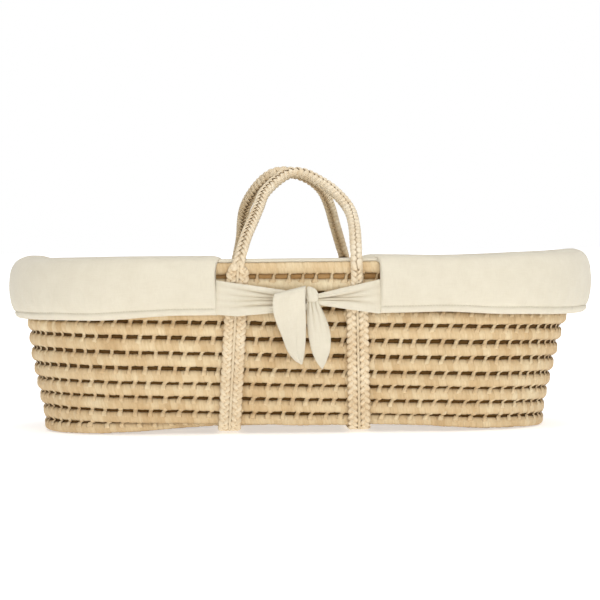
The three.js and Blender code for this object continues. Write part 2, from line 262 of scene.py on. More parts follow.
# ---- materials
class Graph:
    """A node tree and the calls that build it."""

    def __init__(self, tree):
        self.nodes, self.links = tree.nodes, tree.links

    def node(self, kind, **settings):
        made = self.nodes.new("ShaderNode" + kind)
        for key, value in settings.items():
            if key in made.inputs:
                made.inputs[key].default_value = value
            else:
                setattr(made, key, value)
        return made

    def feed(self, made, inputs):
        """Gives each input a number, a colour or another node's output."""
        for key, source in inputs.items():
            if isinstance(source, (float, int)):
                made.inputs[key].default_value = source
            elif isinstance(source, tuple):
                made.inputs[key].default_value = (*source, 1)
            else:
                self.links.new(source, made.inputs[key])

    def attribute(self, name):
        return self.node("Attribute", attribute_name=name).outputs["Fac"]

    def scaled(self, source, scale):
        mapping = self.node("Mapping", Scale=scale)
        self.links.new(source, mapping.inputs["Vector"])
        return mapping.outputs["Vector"]

    def noise(self, source, detail, roughness, scale=1.0, stretch=None):
        made = self.node("TexNoise", Scale=scale, Detail=detail, Roughness=roughness)
        self.links.new(source if stretch is None else self.scaled(source, stretch), made.inputs["Vector"])
        return made.outputs["Fac"]

    def ramp(self, source, stops):
        made = self.node("ValToRGB")
        elements = made.color_ramp.elements
        elements[0].position, elements[0].color = stops[0][0], (*stops[0][1], 1)
        elements[1].position, elements[1].color = stops[-1][0], (*stops[-1][1], 1)
        for position, color in stops[1:-1]:
            elements.new(position).color = (*color, 1)
        self.links.new(source, made.inputs["Fac"])
        return made.outputs["Color"]

    def ranged(self, source, start, end, low=0.0, high=1.0):
        """Maps the source from low..high to start..end."""
        made = self.node("MapRange", **{"From Min": low, "From Max": high, "To Min": start, "To Max": end})
        self.links.new(source, made.inputs["Value"])
        return made.outputs["Result"]

    def mix(self, a, b, factor, blend="MIX"):
        made = self.node("Mix", data_type="RGBA", blend_type=blend)
        self.feed(made, {0: factor, 6: a, 7: b})
        return made.outputs[2]

    def maths(self, operation, *sources):
        made = self.node("Math", operation=operation)
        self.feed(made, dict(enumerate(sources)))
        return made.outputs[0]

    def bump(self, shader, height, distance, strength, after=None):
        made = self.node("Bump", Strength=strength, Distance=distance)
        self.links.new(height, made.inputs["Height"])
        if after is not None:
            self.links.new(after, made.inputs["Normal"])
        self.links.new(made.outputs["Normal"], shader.inputs["Normal"])
        return made.outputs["Normal"]


def new_material(name, color, roughness, sheen=0.0):
    material = bpy.data.materials.new(name)
    material.use_nodes = True
    shader = material.node_tree.nodes["Principled BSDF"]
    shader.inputs["Base Color"].default_value = (*color, 1)
    shader.inputs["Roughness"].default_value = roughness
    shader.inputs["Sheen Weight"].default_value = sheen
    shader.inputs["Sheen Roughness"].default_value = 0.5
    shader.inputs["Specular IOR Level"].default_value = 0.22
    return material, Graph(material.node_tree), shader


def leaf_material(name, tones, groove_shade, along, across, roughness):
    """Dry palm leaf: a tone for each strip, fine fibres, blotches, and painted shade between rows and in
    hollows.
    `along` and `across` scale the fibres along u and v."""
    material, graph, shader = new_material(name, tones[1], roughness)
    uv = graph.node("UVMap", uv_map="UVMap").outputs["UV"]
    tone, painted_shade = graph.attribute("tone"), graph.attribute("painted_shade")
    place = graph.node("TexCoord").outputs["Object"]
    fibre = graph.noise(uv, 4.0, 0.65, stretch=(along, across, 1))
    streak = graph.noise(uv, 2.0, 0.5, stretch=(along / 4, across / 3, 1))
    blotch = graph.noise(place, 3.0, 0.6, scale=21.0)
    shade = graph.maths("MULTIPLY_ADD", streak, 0.5, tone)
    shade = graph.maths("SUBTRACT", shade, 0.25)
    color = graph.ramp(shade, [(0.05, tones[0]), (0.5, tones[1]), (0.95, tones[2])])
    warm = graph.ramp(blotch, [(0.35, (0.85, 0.77, 0.67)), (0.62, (1, 1, 1))])
    color = graph.mix(color, warm, 0.7, "MULTIPLY")
    lines = graph.ramp(fibre, [(0.3, (0.80, 0.76, 0.68)), (0.6, (1, 1, 1))])
    color = graph.mix(color, lines, 0.7, "MULTIPLY")
    color = graph.mix(color, groove_shade, painted_shade)
    rough = graph.ranged(streak, roughness - 0.1, roughness + 0.15)
    graph.feed(shader, {"Base Color": color, "Roughness": rough})
    graph.bump(shader, fibre, 0.00035, 0.8)
    return material


def cotton_material(name, color, dark, slub=0.5, shade_colour=None):
    """Plain-woven cotton: crossed threads, thicker slubs, and faint mottling. Where a vertex takes
    painted shade, the colour moves towards the given shade colour."""
    material, graph, shader = new_material(name, color, 0.92, sheen=0.25)
    uv = graph.node("UVMap", uv_map="UVMap").outputs["UV"]
    place = graph.node("TexCoord").outputs["Object"]
    warp, weft = [graph.node("TexWave", bands_direction=way, Scale=1.0, Distortion=1.5, Detail=2.0)
                  for way in ("X", "Y")]
    threads = graph.scaled(uv, (THREADS_PER_METRE / TURN, THREADS_PER_METRE / TURN, 1))
    for yarn in (warp, weft):
        graph.links.new(threads, yarn.inputs["Vector"])
    woven = graph.maths("MAXIMUM", warp.outputs["Fac"], weft.outputs["Fac"])
    slub_long = graph.noise(uv, 3.0, 0.6, stretch=(60, 900, 1))
    slub_cross = graph.noise(uv, 3.0, 0.6, stretch=(900, 60, 1))
    slubs = graph.maths("MULTIPLY", graph.maths("ADD", slub_long, slub_cross), 0.5)
    mottle = graph.noise(place, 4.0, 0.6, scale=45.0)
    cloudy = graph.ramp(mottle, [(0.3, dark), (0.65, color)])
    threadwise = graph.ramp(slubs, [(0.36, dark), (0.56, color)])
    base = graph.mix(cloudy, threadwise, slub)
    grain = graph.ramp(woven, [(0.0, (0.90, 0.89, 0.86)), (0.8, (1, 1, 1))])
    base = graph.mix(base, grain, 0.5, "MULTIPLY")
    if shade_colour is not None:
        base = graph.mix(base, shade_colour, graph.attribute("painted_shade"))
    graph.feed(shader, {"Base Color": base, "Roughness": graph.ranged(slubs, 0.85, 1.0)})
    first = graph.bump(shader, slubs, 0.0012, 0.5)
    graph.bump(shader, woven, 0.0003, 0.6, after=first)
    return material


THREADS_PER_METRE = 1300
# The colour of the painted shade on the leaf: between rows, on the coil's inner side, under each row and in
# the stitches' middles.
GROOVE_SHADE = (0.11, 0.050, 0.011)
LEAF = leaf_material("palm_leaf", [(0.64, 0.46, 0.25), (0.77, 0.60, 0.365), (0.86, 0.73, 0.49)], GROOVE_SHADE,
                     420, 25, 0.62)
LACING = leaf_material("leaf_lacing", [(0.66, 0.48, 0.27), (0.78, 0.61, 0.38), (0.86, 0.73, 0.49)], GROOVE_SHADE,
                       60, 700, 0.62)
# For the braid and the cord, the brown after the tones is the colour of their painted shade.
BRAID = leaf_material("palm_braid", [(0.72, 0.56, 0.36), (0.86, 0.73, 0.525), (0.92, 0.82, 0.64)],
                      (0.42, 0.27, 0.13), 90, 1500, 0.75)
CORD = leaf_material("strap_cord", [(0.66, 0.53, 0.35), (0.78, 0.66, 0.47), (0.84, 0.74, 0.56)],
                     (0.40, 0.27, 0.14), 300, 1500, 0.8)
# The lacing runs behind the slots, coloured near black-brown: painted shade in the slots.
SLOT_SHADE_LACING = leaf_material("inner_lacing_in_painted_shade", [(0.080, 0.038, 0.006), (0.105, 0.052, 0.009),
                                              (0.14, 0.070, 0.014)], GROOVE_SHADE, 60, 300, 0.8)
# The lacing run in the gap below the rim: leaf lacing, darkened to brown as painted shade.
RIM_GAP_SHADE_LACING = leaf_material("inner_rim_lacing_in_painted_shade", [(0.36, 0.20, 0.07), (0.45, 0.27, 0.11), (0.54, 0.34, 0.15)],
                           GROOVE_SHADE, 60, 300, 0.8)
# Painted shade on the liner tub's outer face, which shows through the wall's slots.
LINER_OUTSIDE_SHADE = (0.16, 0.075, 0.02)
TIE_SHADE = (0.40, 0.29, 0.15)  # the warm dark in the ties' creases
COTTON = cotton_material("cotton_cover", (0.78, 0.72, 0.575), (0.72, 0.655, 0.51), shade_colour=TIE_SHADE)
LINING = cotton_material("cotton_lining", (0.78, 0.715, 0.565), (0.71, 0.64, 0.49), shade_colour=LINER_OUTSIDE_SHADE)
SHEET = cotton_material("mattress_cotton", (0.84, 0.81, 0.75), (0.77, 0.74, 0.67), slub=0.25)
THREAD = cotton_material("cotton_thread", (0.60, 0.53, 0.39), (0.52, 0.45, 0.32))


# ---- the coil
# One coil winds out over the base and climbs the wall. Its place is given in rows: 0 is the
# middle of the front on the lowest row, 1 the same spot a turn higher, -1 a turn inside that.
SECTION = loop_angles(16)
WRAP_WIDTH = (8 * MM, 12.5 * MM)
WRAP_STEPS = np.array([0.0, 0.07, 0.28, 0.62, 0.92])
WRAP_RISE = np.array([-0.35, 0.1, 0.3, 0.25, 0.05]) * MM
WRAP_SLANT = 0.22
WRAP_AROUND = 50 * MM  # length of leaf once round the coil
WRAP_SHRINK = 0.4 * MM  # leaves room for the strips' own rise
TONE_SPREAD = 0.62  # between the palest and the darkest strips
GROOVE_SHADE_AMOUNT, UNDERSIDE_SHADE_AMOUNT = 0.9, 0.16  # how much painted shade darkens the coil between rows and on its inner side, and low on a row
COIL_SPLIT = -1.02  # where the base coil ends and the lowest row begins, in rows
SEEN_UP = 9.05 * MM  # half the coil's height, which leaves the dark slots open
LOW_SQUASH = 0.84  # the base and the lowest row lie flatter
BASE_HEIGHTS = (18.1 * MM, SEEN_UP * LOW_SQUASH + 0.6 * MM)  # the base coil's, mid-length then ends
BASE_TURNS = 10
BASE_TURN_PITCH = 15.3 * MM
SPIRAL_END = 9.62  # rows climbed when the coil tapers out below the rim, behind the skirt
LAST_CLIMB = 14.6 * MM  # the climb in a full turn above the ninth row
ROW_HEIGHTS = np.array([18.0, 37.5, 57.7, 77.6, 99.2, 121.0, 143.4, 165.3, 187.4, 208.8]) * MM
TOP_FLARE = 2.2 * MM  # how far the top row stands out, below the rim
UPPER_SHIFT = 2.6 * MM  # how far the upper rows lie towards +X
ROW_TILT = 0.0164  # the rows sit a little lower towards +X


def perimeter_at(row):
    z = LOWEST_Z + ROW_PITCH * np.clip(row, 0, WALL_ROWS - 1)
    radius = half_width_at(z) + BASE_TURN_PITCH * np.minimum(row, 0)
    return 4 * straight_at(z) + TURN * np.maximum(radius, 5 * MM)


def coil_height(row):
    """Height of the coil's centre: on the arched base inside, then climbing the wall."""
    level = LOWEST_Z + ROW_PITCH * np.clip(row, 0, WALL_ROWS - 1)
    x, _, _ = oval(row, straight_at(level), half_width_at(level))
    x = x + offset_at(level)
    climbed = np.interp(row, np.arange(-1, WALL_ROWS), [2 * ROW_HEIGHTS[0] - ROW_HEIGHTS[1], *ROW_HEIGHTS])
    climbed = climbed + LAST_CLIMB * np.maximum(0, row - (WALL_ROWS - 1))
    tilted = climbed - ROW_TILT * x * (1 - wall_share(level) ** 4)
    arched = lerp(*BASE_HEIGHTS, smoothstep(np.abs(x), ARCH_START, ARCH_END))
    return np.maximum(tilted, arched)


def coil_inset(row):
    """How far the coil lies inside the wall: each turn sits beside or below the next one up."""
    row = np.asarray(row, float)
    inset = np.zeros_like(row)
    for turns in range(BASE_TURNS + 1):
        upper = row + turns
        drop = (coil_height(upper + 1) - coil_height(upper)) / (17.5 * MM)
        beside = BASE_TURN_PITCH * np.sqrt(np.maximum(0, 1 - drop ** 2))
        inset += np.where(upper < 0, beside, 0) * smoothstep(-upper, -0.02, 0.03)
    return inset


def coil_centre(row):
    """Centre of the coil and its outward normal."""
    row = np.asarray(row, float)
    z = coil_height(row)
    radius = np.maximum(half_width_at(z) - COIL_OUT - coil_inset(row), 3 * MM)
    radius = radius + 0.7 * MM * wobble(row, 0.13, 3) + TOP_FLARE * smoothstep(z, 0.192, 0.208)
    x, y, normal = oval(row, straight_at(z), radius)
    z = z + 0.6 * MM * wobble(row, 0.17, 4) + 0.45 * MM * wobble(row, 0.021, 5)
    x = x + offset_at(z) + UPPER_SHIFT * smoothstep(z, 0.135, 0.165)
    point = np.stack([x, y, z], -1)
    return point, np.concatenate([normal, np.zeros_like(normal[..., :1])], -1)


def rim_centre(turn):
    z = np.full_like(turn, RIM_Z)
    point, normal = on_oval(turn, half_width_at(z) - COIL_OUT, z)
    point[..., 2] += 0.35 * MM * wobble(np.sin(turn * TURN), 0.9, 8)
    return point, normal


def wrap_edges(start, end, seed):
    """Where each wrap of leaf begins, as rows along the coil."""
    rng = np.random.default_rng(seed)
    edges, row = [start], start
    while row < end:
        row += rng.uniform(*WRAP_WIDTH) / float(perimeter_at(row))
        edges.append(min(row, end))
    return np.array(edges), rng


def coil_piece(name, centre, start, end, seed, taper, section=SECTION, painted_light=0.0):
    """One stretch of coil, wrapped strip beside strip. `taper` gives its thickness by row."""
    edges, rng = wrap_edges(start, end, seed)
    widths = np.diff(edges)
    row = (edges[:-1, None] + widths[:, None] * WRAP_STEPS).ravel()
    rise = np.tile(WRAP_RISE, len(widths))
    proud = np.repeat(rng.uniform(-0.2, 0.2, len(widths)) * MM, len(WRAP_STEPS))
    tone = np.repeat(0.5 + painted_light + TONE_SPREAD * (rng.beta(2.2, 2.2, len(widths)) - 0.5), len(WRAP_STEPS))
    row, rise = np.append(row, end), np.append(rise, WRAP_RISE[0])
    proud, tone = np.append(proud, 0), np.append(tone, 0.5)
    point, normal = centre(row)
    tangent = unit(np.gradient(point, axis=0))
    up = unit(np.cross(tangent, normal))
    up *= np.sign(up[:, 2:3])
    scale, lift = taper(row)[:, None], (rise + proud)[:, None]
    cosine, sine = np.cos(section), np.sin(section)
    squared = np.sign(sine) * np.abs(sine) ** 0.85
    out = (COIL_OUT - WRAP_SHRINK) * scale * cosine + lift * cosine
    high = (SEEN_UP - WRAP_SHRINK) * scale * squared + lift * sine
    slant = WRAP_SLANT * COIL_UP * sine * scale
    rings = (point[:, None] + normal[:, None] * out[..., None] + up[:, None] * high[..., None]
             + tangent[:, None] * slant[..., None])
    along = lengths_along(point)
    # Painted shade: darker between rows, on the coil's inner side and low on each row.
    between_rows = np.clip((np.abs(sine) - 0.88) / 0.1, 0, 1) ** 1.5 * GROOVE_SHADE_AMOUNT
    low = np.clip(-sine - 0.25, 0, 1) * UNDERSIDE_SHADE_AMOUNT
    inside = np.clip(-cosine, 0, 1) * GROOVE_SHADE_AMOUNT
    painted_shade = np.maximum(np.maximum(between_rows, low), inside)
    return tube_piece(name, LEAF, rings, along, section / TURN * WRAP_AROUND, tone[:, None], painted_shade)


def end_taper(row):
    flat = np.interp(row, [0.03, 0.2, 2.6, 4], [LOW_SQUASH, 0.955, 0.96, 1])
    return flat * (1 - 0.75 * smoothstep(row, SPIRAL_END - 0.06, SPIRAL_END))


def start_taper(row):
    return LOW_SQUASH * (1 - 0.6 * smoothstep(-row, BASE_TURNS - 0.25, BASE_TURNS - 0.2))


def make_coils():
    for i in range(WALL_ROWS):
        top = i == WALL_ROWS - 1
        start, end = (COIL_SPLIT if i == 0 else i - 0.5), (SPIRAL_END if top else i + 0.5)
        name = f"wall_row_{i + 1:02d}"
        # The top wall row is painted paler, as painted light against the shade it lies in under the rim.
        painted_light = 0.5 if top else 0
        piece = coil_piece(name + "_coil", coil_centre, start, end, 20 + i, end_taper, painted_light=painted_light)
        finish_piece(piece, "basket", "palm_leaf", name)
    base = coil_piece("base_coil_spiral", coil_centre, 0.2 - BASE_TURNS, COIL_SPLIT, 60, start_taper,
                      loop_angles(10))
    finish_piece(base, "basket", "palm_leaf", "base_coil")
    rim = coil_piece("rim_row_coil", rim_centre, 0, 1, 61, lambda row: np.full_like(row, 0.95))
    finish_piece(rim, "basket", "palm_leaf", "rim_row")


# ---- lacing stitches
STITCH_PITCH = 20.5 * MM
STITCH_ANGLES = np.radians([18, 34, 50, 64, 76])
STITCH_LIFT = np.array([-1.5, -0.55, 0.1, 0.4, 0.45]) * MM
STITCH_LEAN = 4.5 * MM
STITCH_WIDTHS = (8 * MM, 6.0 * MM, 8.5 * MM)  # at the upper end, in the slot and at the lower end
RIM_STITCH_WIDTHS = (3.2 * MM, 4.0 * MM, 12 * MM)
STITCH_SECTION = loop_angles(6)
STITCH_HALF_THICK = 0.7 * MM
# The runs behind the stitches, coloured dark as painted shade in the slots: half the depth and height,
# how far they lie inside the coils' centres, where they start, and their steps in a turn.
FILLING_HALF, RIM_FILLING_HALF = (3.2 * MM, 3.6 * MM), (3.0 * MM, 5.0 * MM)
FILLING_INSET, FILLING_START, FILLING_STEPS = 2.2 * MM, -0.9, 280


def stitch_rings(upper, lower, normal, tangent, rng, widths):
    """One leaf strip over the upper coil's edge, into the gap and out over the lower coil."""
    across = lower - upper
    across = across / np.linalg.norm(across)
    face = unit(normal * -across[2] + np.array([0, 0, 1.0]) * (across @ normal))
    path, outs = [], []
    for centre, sign, order in ((upper, 1, 1), (lower, -1, -1)):
        for angle, lift in list(zip(STITCH_ANGLES, STITCH_LIFT))[::order]:
            out = face * math.cos(angle) + across * math.sin(angle) * sign
            path.append(centre + face * (COIL_OUT + lift) * math.cos(angle)
                        + across * (SEEN_UP + lift) * math.sin(angle) * sign)
            outs.append(out)
    path, outs = np.array(path), np.array(outs)
    share = np.linspace(0, 1, len(path))
    lean = STITCH_LEAN * rng.uniform(0.5, 1.4)
    path += tangent * (lean * (smoothstep(share, 0.1, 0.9) - 0.5) + rng.uniform(-0.8, 0.8) * MM)[:, None]
    width = np.interp(share, [0, 0.5, 1], widths) * rng.uniform(0.85, 1.15) / 2
    return rings_round(path, STITCH_SECTION, width[:, None] * tangent, STITCH_HALF_THICK * outs)


def add_stitches(made, rows, upper_of, lower_of, rng, widths):
    rows = np.array(rows)
    low, normal = lower_of(rows)
    high, _ = upper_of(rows)
    tangent = unit(lower_of(rows + 1e-4)[0] - low)
    for k in range(len(rows)):
        rings = stitch_rings(high[k], low[k], normal[k], tangent[k], rng, widths)
        u = np.linspace(0, 0.02, len(rings)) + rng.uniform(0, 5)
        # Painted shade in the middle of each stitch, where it crosses the slot.
        painted_shade = np.interp(np.linspace(0, 1, len(rings)), [0, 0.4, 0.5, 0.6, 1], [0, 0.12, 0.2, 0.05, 0])
        made.grid(rings, u, STITCH_SECTION / TURN * 0.012, rng.uniform(0.35, 0.8), painted_shade[:, None])


def stitch_rows(start, end, rng):
    """Rows along the coil, a stitch pitch apart with a little scatter."""
    rows, row = [], start
    while row < end:
        rows.append(row)
        row += STITCH_PITCH * rng.uniform(0.9, 1.1) / float(perimeter_at(row))
    return rows


def add_filling(made, start, end, upper_of, size):
    """The inner run of the lacing that closes a gap behind its stitches."""
    rows = np.linspace(start, end, int((end - start) * FILLING_STEPS))
    low, normal = coil_centre(rows)
    high, _ = upper_of(rows)
    across = unit(high - low)
    ring = loop_angles(8)
    middle = (low + high) / 2 - normal * FILLING_INSET
    rings = rings_round(middle, ring, size[0] * normal, size[1] * across)
    made.grid(rings, lengths_along(middle), ring / TURN * 0.02, 0.5, 0.0)


def make_lacing():
    inner, inner_rim = Builder(), Builder()
    for i in range(WALL_ROWS):
        rng = np.random.default_rng(100 + i)
        made = Builder()
        top = i == WALL_ROWS - 1
        start, end = (-0.97 if i == 0 else i - 0.5), (WALL_ROWS - 0.5 if top else i + 0.5)
        widths = RIM_STITCH_WIDTHS if top else STITCH_WIDTHS
        upper = rim_centre if top else (lambda row: coil_centre(row + 1))
        add_stitches(made, stitch_rows(start, end, rng), upper, coil_centre, rng, widths)
        add_filling(inner_rim if top else inner, max(start, FILLING_START), end, upper,
                    RIM_FILLING_HALF if top else FILLING_HALF)
        name = f"row_lacing_{i + 1:02d}"
        finish_piece(made.build(name + "_stitches", LACING), "basket", "leaf_lacing", name)
    finish_piece(inner.build("inner_lacing_runs", SLOT_SHADE_LACING), "basket", "leaf_lacing")
    finish_piece(inner_rim.build("inner_rim_lacing_run", RIM_GAP_SHADE_LACING), "basket", "leaf_lacing")
    rng = np.random.default_rng(130)
    made = Builder()
    rows = stitch_rows(0.4 - BASE_TURNS, -1.0, rng)
    add_stitches(made, rows, lambda row: coil_centre(row + 1), coil_centre, rng, STITCH_WIDTHS)
    finish_piece(made.build("base_coil_stitches", LACING), "basket", "leaf_lacing")


# ---- straps and handles
STRAP_OUT = 4.4 * MM  # the middle of a strap's thickness, out from the wall
STRAP_UNDER = CLEARANCE - STRAP_OUT - 2.0 * MM  # its height under the base
STRAND_AROUND = 12 * MM  # the leaf's width round a strand
CORD_RADIUS = 2.0 * MM
CORD_RISE = 1.3 * MM  # how far the strap's cord stands out from the braids' middle
TWIST_LENGTH = 11 * MM
# A run's two plaits: the name on the handle and on the strap, the side, and the start of the weave.
PLAITS = (("outer", "outboard", 1, 0), ("inner", "inboard", -1, 0.17))
# Height over which each strap's flat plaits close round the handle's core.
TUBE_START = {"left": -15 * MM, "right": -52 * MM}
TUBE_END = {"left": 11 * MM, "right": -6 * MM}
BRAID_HALF = 7.7 * MM
STRAND_HALF = (3.7 * MM, 1.9 * MM)
STRAND_SWING = (4.0 * MM, 1.5 * MM)
BRAID_APART = 8.1 * MM  # from the strap's middle to the middle of a braid
BRAID_PERIOD = 28 * MM
CORE_RADIUS = 4.8 * MM
WRAP_ANGLE = math.radians(98)  # how far round the core a braid's edge lies from its middle
PATH_STEP = 1.6 * MM
HANDLE_FOOT = np.array([GAP_CENTRE, -218 * MM, 246 * MM])
HANDLE_LEAN = math.radians(32)
# The arches in the handles' own planes: along the basket, then up from the feet. The rear one is
# drawn as if it stood at the front, before the half turn.
HANDLE_ARCH = {
    "front": [
        (-72, 52), (-62, 94), (-52, 136), (-45.5, 167), (-35, 190), (-22, 211), (-8, 226), (7, 228),
        (21, 220.5), (35, 206), (50, 187), (62.5, 164), (72.5, 139), (78.5, 113), (81, 79), (81, 41),
    ],
    "rear": [
        (-73, 44), (-65, 88), (-56, 139), (-45, 180), (-29, 208), (-10, 225), (10, 232), (26, 229),
        (38, 217.5), (49.5, 197), (59.5, 172), (65.5, 152), (70.5, 127), (73, 95), (74.5, 50),
    ],
}
STRAP_X = {"left": (-91 * MM, -104 * MM), "right": (73 * MM, 77 * MM)}  # at the rim, at the base


def strap_x(side, z):
    top, bottom = STRAP_X[side]
    return lerp(bottom, top, (z - LOWEST_Z) / (RIM_Z - LOWEST_Z))


def wall_run(side):
    """The strap's middle line from under the base up the front wall to the rim."""
    out, under = STRAP_OUT, STRAP_UNDER
    base = BASE_HALF[1]
    rim = RIM_HALF[1]
    profile = [
        (0.5 * base, under), (base - 16 * MM, under), (base - 3 * MM, under + 2.5 * MM),
        (base + out - 0.8 * MM, under + 11 * MM),
    ]
    levels = np.linspace(LOWEST_Z + 14 * MM, RIM_Z - 4 * MM, 6)
    profile += [(float(half_width_at(z)) + out, z) for z in levels]
    profile += [(rim + out + 0.8 * MM, RIM_TOP - 3 * MM)]
    return [(strap_x(side, z), -y, z) for y, z in profile]


def handle_point(along, up):
    lean = np.array([0, math.cos(HANDLE_LEAN), math.sin(HANDLE_LEAN)])
    return HANDLE_FOOT + np.array([along * MM, 0, 0]) + lean * up * MM


def front_line(arch_points):
    """From under the base, up the left strap, over the front handle and down the right strap,
    with the direction that the braid's face looks in at each point."""
    left, right = wall_run("left"), wall_run("right")[::-1]
    over = [handle_point(*p) for p in arch_points]
    line = spline([*left, *over, *right], 900)
    line = resample(line, int(lengths_along(line)[-1] / PATH_STEP))
    wall = np.array([0, -1.0, 0])
    tilted = np.array([0, -math.sin(HANDLE_LEAN), math.cos(HANDLE_LEAN)])
    down = np.array([0, 0, -1.0])
    on_handle = smoothstep(line[:, 2], RIM_TOP - 6 * MM, RIM_TOP + 26 * MM)[:, None]
    on_base = smoothstep(-line[:, 2], -24 * MM, -9 * MM)[:, None]
    face = wall * (1 - on_handle) * (1 - on_base) + tilted * on_handle + down * on_base
    return line, face


def frames(line, face):
    """The face direction square to the line at each point, and the direction to its side."""
    tangent = unit(np.gradient(line, axis=0))
    face = unit(face - tangent * np.sum(face * tangent, 1, keepdims=True))
    return face, np.cross(face, tangent)


def braid_point(line, face, side, lateral, high, tube):
    """Maps a point of a flat braid, `lateral` from its middle and `high` from its mid
    thickness, to the strap where it lies flat (tube 0) or to the handle, wrapped half round
    the core (tube 1). `side` is the sideways direction to the braid's own half."""
    flat = line + side * (BRAID_APART + lateral)[:, None] + face * high[:, None]
    angle = math.pi / 2 + lateral / BRAID_HALF * WRAP_ANGLE
    radius = CORE_RADIUS + (high + STRAND_HALF[1] + STRAND_SWING[1]) * 0.6
    wrapped = line + (side * np.sin(angle)[:, None] + face * np.cos(angle)[:, None]) * radius[:, None]
    return lerp(flat, wrapped, tube[:, None])


def tube_share(line):
    """0 where the strap is flat and 1 where it is a round handle."""
    left = smoothstep(line[:, 2] - RIM_TOP, TUBE_START["left"], TUBE_END["left"])
    right = smoothstep(line[:, 2] - RIM_TOP, TUBE_START["right"], TUBE_END["right"])
    return np.where((line[:, 0] - GAP_CENTRE) * np.sign(line[0, 1]) < 0, right, left)


def braid(name, line, face, turned, phase_start=0.0, shade=0.6, seam=0.0):
    """A three-strand plait along the line, on the `turned` side (+1 outboard, -1 inboard). `seam`
    is painted shade on the edge that meets the other plait on a handle's underside."""
    face, side = frames(line, face)
    side = side * turned
    along = lengths_along(line)
    tube = tube_share(line)
    ring = loop_angles(8)
    rng = np.random.default_rng(len(name))
    made = Builder()
    for strand in range(3):
        phase = (along / BRAID_PERIOD + strand / 3 + phase_start) * TURN
        lateral = STRAND_SWING[0] * np.sin(phase)
        high = STRAND_SWING[1] * np.sin(2 * phase)
        rough = 0.25 * MM * wobble(along, 0.05, 7 + strand)
        points = []
        for a in ring:
            bulge = 1 + 0.12 * math.cos(3 * a)
            points.append(braid_point(line, face, side,
                                      lateral + STRAND_HALF[0] * math.cos(a) * bulge + rough,
                                      high + STRAND_HALF[1] * math.sin(a), tube))
        rings = np.stack(points, 1)
        if turned < 0:
            rings = rings[:, ::-1]
        seen = ring[::-1] if turned < 0 else ring
        # Painted shade: darker at each strand's edges, on its underside and where it dips low.
        edge = np.clip(np.abs(np.cos(seen)) - 0.84, 0, 1) * 2.4
        under = np.clip(-np.sin(seen), 0, 1) * 0.45
        low = smoothstep(-high, 0, STRAND_SWING[1])[:, None] * 0.10
        tone = shade + 0.25 * wobble(along, 0.03, 30 + strand)[:, None] + rng.uniform(-0.1, 0.1)
        tone = tone + lerp(-0.17, 0.08, tube[:, None])
        painted_shade = np.clip(edge + under + low, 0, 0.75) * lerp(0.52, 0.35, tube[:, None])
        out = (lateral[:, None] + STRAND_HALF[0] * np.cos(seen)) / BRAID_HALF
        painted_shade = np.maximum(painted_shade, seam * smoothstep(out, 0.62, 0.95) * tube[:, None])
        made.grid(rings, along, ring / TURN * STRAND_AROUND, tone, painted_shade)
    return made.build(name, BRAID)


def cord_line(name, line, face):
    """The cord between the two braids, which becomes the handle's rope core. Two plies show as
    a slow twist."""
    face, side = frames(line, face)
    along = lengths_along(line)
    tube = tube_share(line)
    ring = loop_angles(10)
    radius = lerp(CORD_RADIUS, CORE_RADIUS, tube)
    twist = along / TWIST_LENGTH * TURN
    points = []
    for a in ring:
        ply = radius * (1 + 0.13 * np.cos(2 * (a - twist)))
        high = np.sin(a) * ply + (1 - tube) * CORD_RISE
        points.append(line + side * (np.cos(a) * ply)[:, None] + face * high[:, None])
    return tube_piece(name, CORD, np.stack(points, 1), along, ring / TURN * STRAND_AROUND, 0.55)


def turned_half(points):
    """The rear handle and its straps are the front's, turned half round."""
    return points * np.array([-1, -1, 1.0])


def rear_line(line, face):
    """The front line turned half round for the rear, with its straps put back over the
    front ones' places under the basket."""
    rear = turned_half(line - np.array([GAP_CENTRE, 0, 0])) + np.array([GAP_CENTRE, 0, 0])
    for side, sign in (("left", -1), ("right", 1)):
        mine = (rear[:, 0] - GAP_CENTRE) * sign > 0
        low = rear[:, 2] < RIM_TOP
        wanted = np.array([strap_x(side, z) for z in rear[:, 2]])
        fade = smoothstep(-rear[:, 2], -RIM_TOP - 20 * MM, -RIM_TOP + 40 * MM)
        rear[:, 0] = np.where(mine, lerp(rear[:, 0], wanted, fade * (low | (fade > 0))), rear[:, 0])
    return rear, turned_half(face)


def make_handles():
    """Each handle, with the straps up the wall that it grows out of."""
    lines = {"front": front_line(HANDLE_ARCH["front"]), "rear": rear_line(*front_line(HANDLE_ARCH["rear"]))}
    for run, (path, looks) in lines.items():
        handle = f"{run}_handle"
        # The rear handle takes a darker tone, as painted shade, and painted shade along its seam.
        shade, seam = (0.7, 0.0) if run == "front" else (0.55, 0.85)
        pieces = [(braid(f"{handle}_{place}_plait", path, looks, turned, phase, shade, seam),
                   f"{place}_braid", f"{strap}_braid") for place, strap, turned, phase in PLAITS]
        pieces.append((cord_line(f"{handle}_rope", path, looks), "core", "cord"))
        for piece, on_handle, on_strap in pieces:
            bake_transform(piece)
            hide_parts(f"{handle}_{on_handle}",
                        *[f"{side}_strap_{run}_{on_strap}" for side in ("left", "right")])


def make_base_straps():
    """The straps' straight runs under the basket."""
    half_span = 0.5 * BASE_HALF[1]
    y = np.linspace(half_span, -half_span, int(2 * half_span / PATH_STEP))
    looks = np.tile([0, 0, -1.0], (len(y), 1))
    for side, outwards in (("left", 1), ("right", -1)):
        base = np.stack([np.full_like(y, strap_x(side, STRAP_UNDER)), y, np.full_like(y, STRAP_UNDER)], 1)
        name = f"{side}_strap_base"
        for _, strap, turned, phase in PLAITS:
            plait = braid(f"{name}_{strap}_plait", base, looks, turned * outwards, phase)
            finish_piece(plait, "basket", "palm_braid", f"{name}_{strap}_braid")
        cord = cord_line(f"{name}_rope", base, looks)
        finish_piece(cord, "basket", "palm_braid", f"{name}_cord")


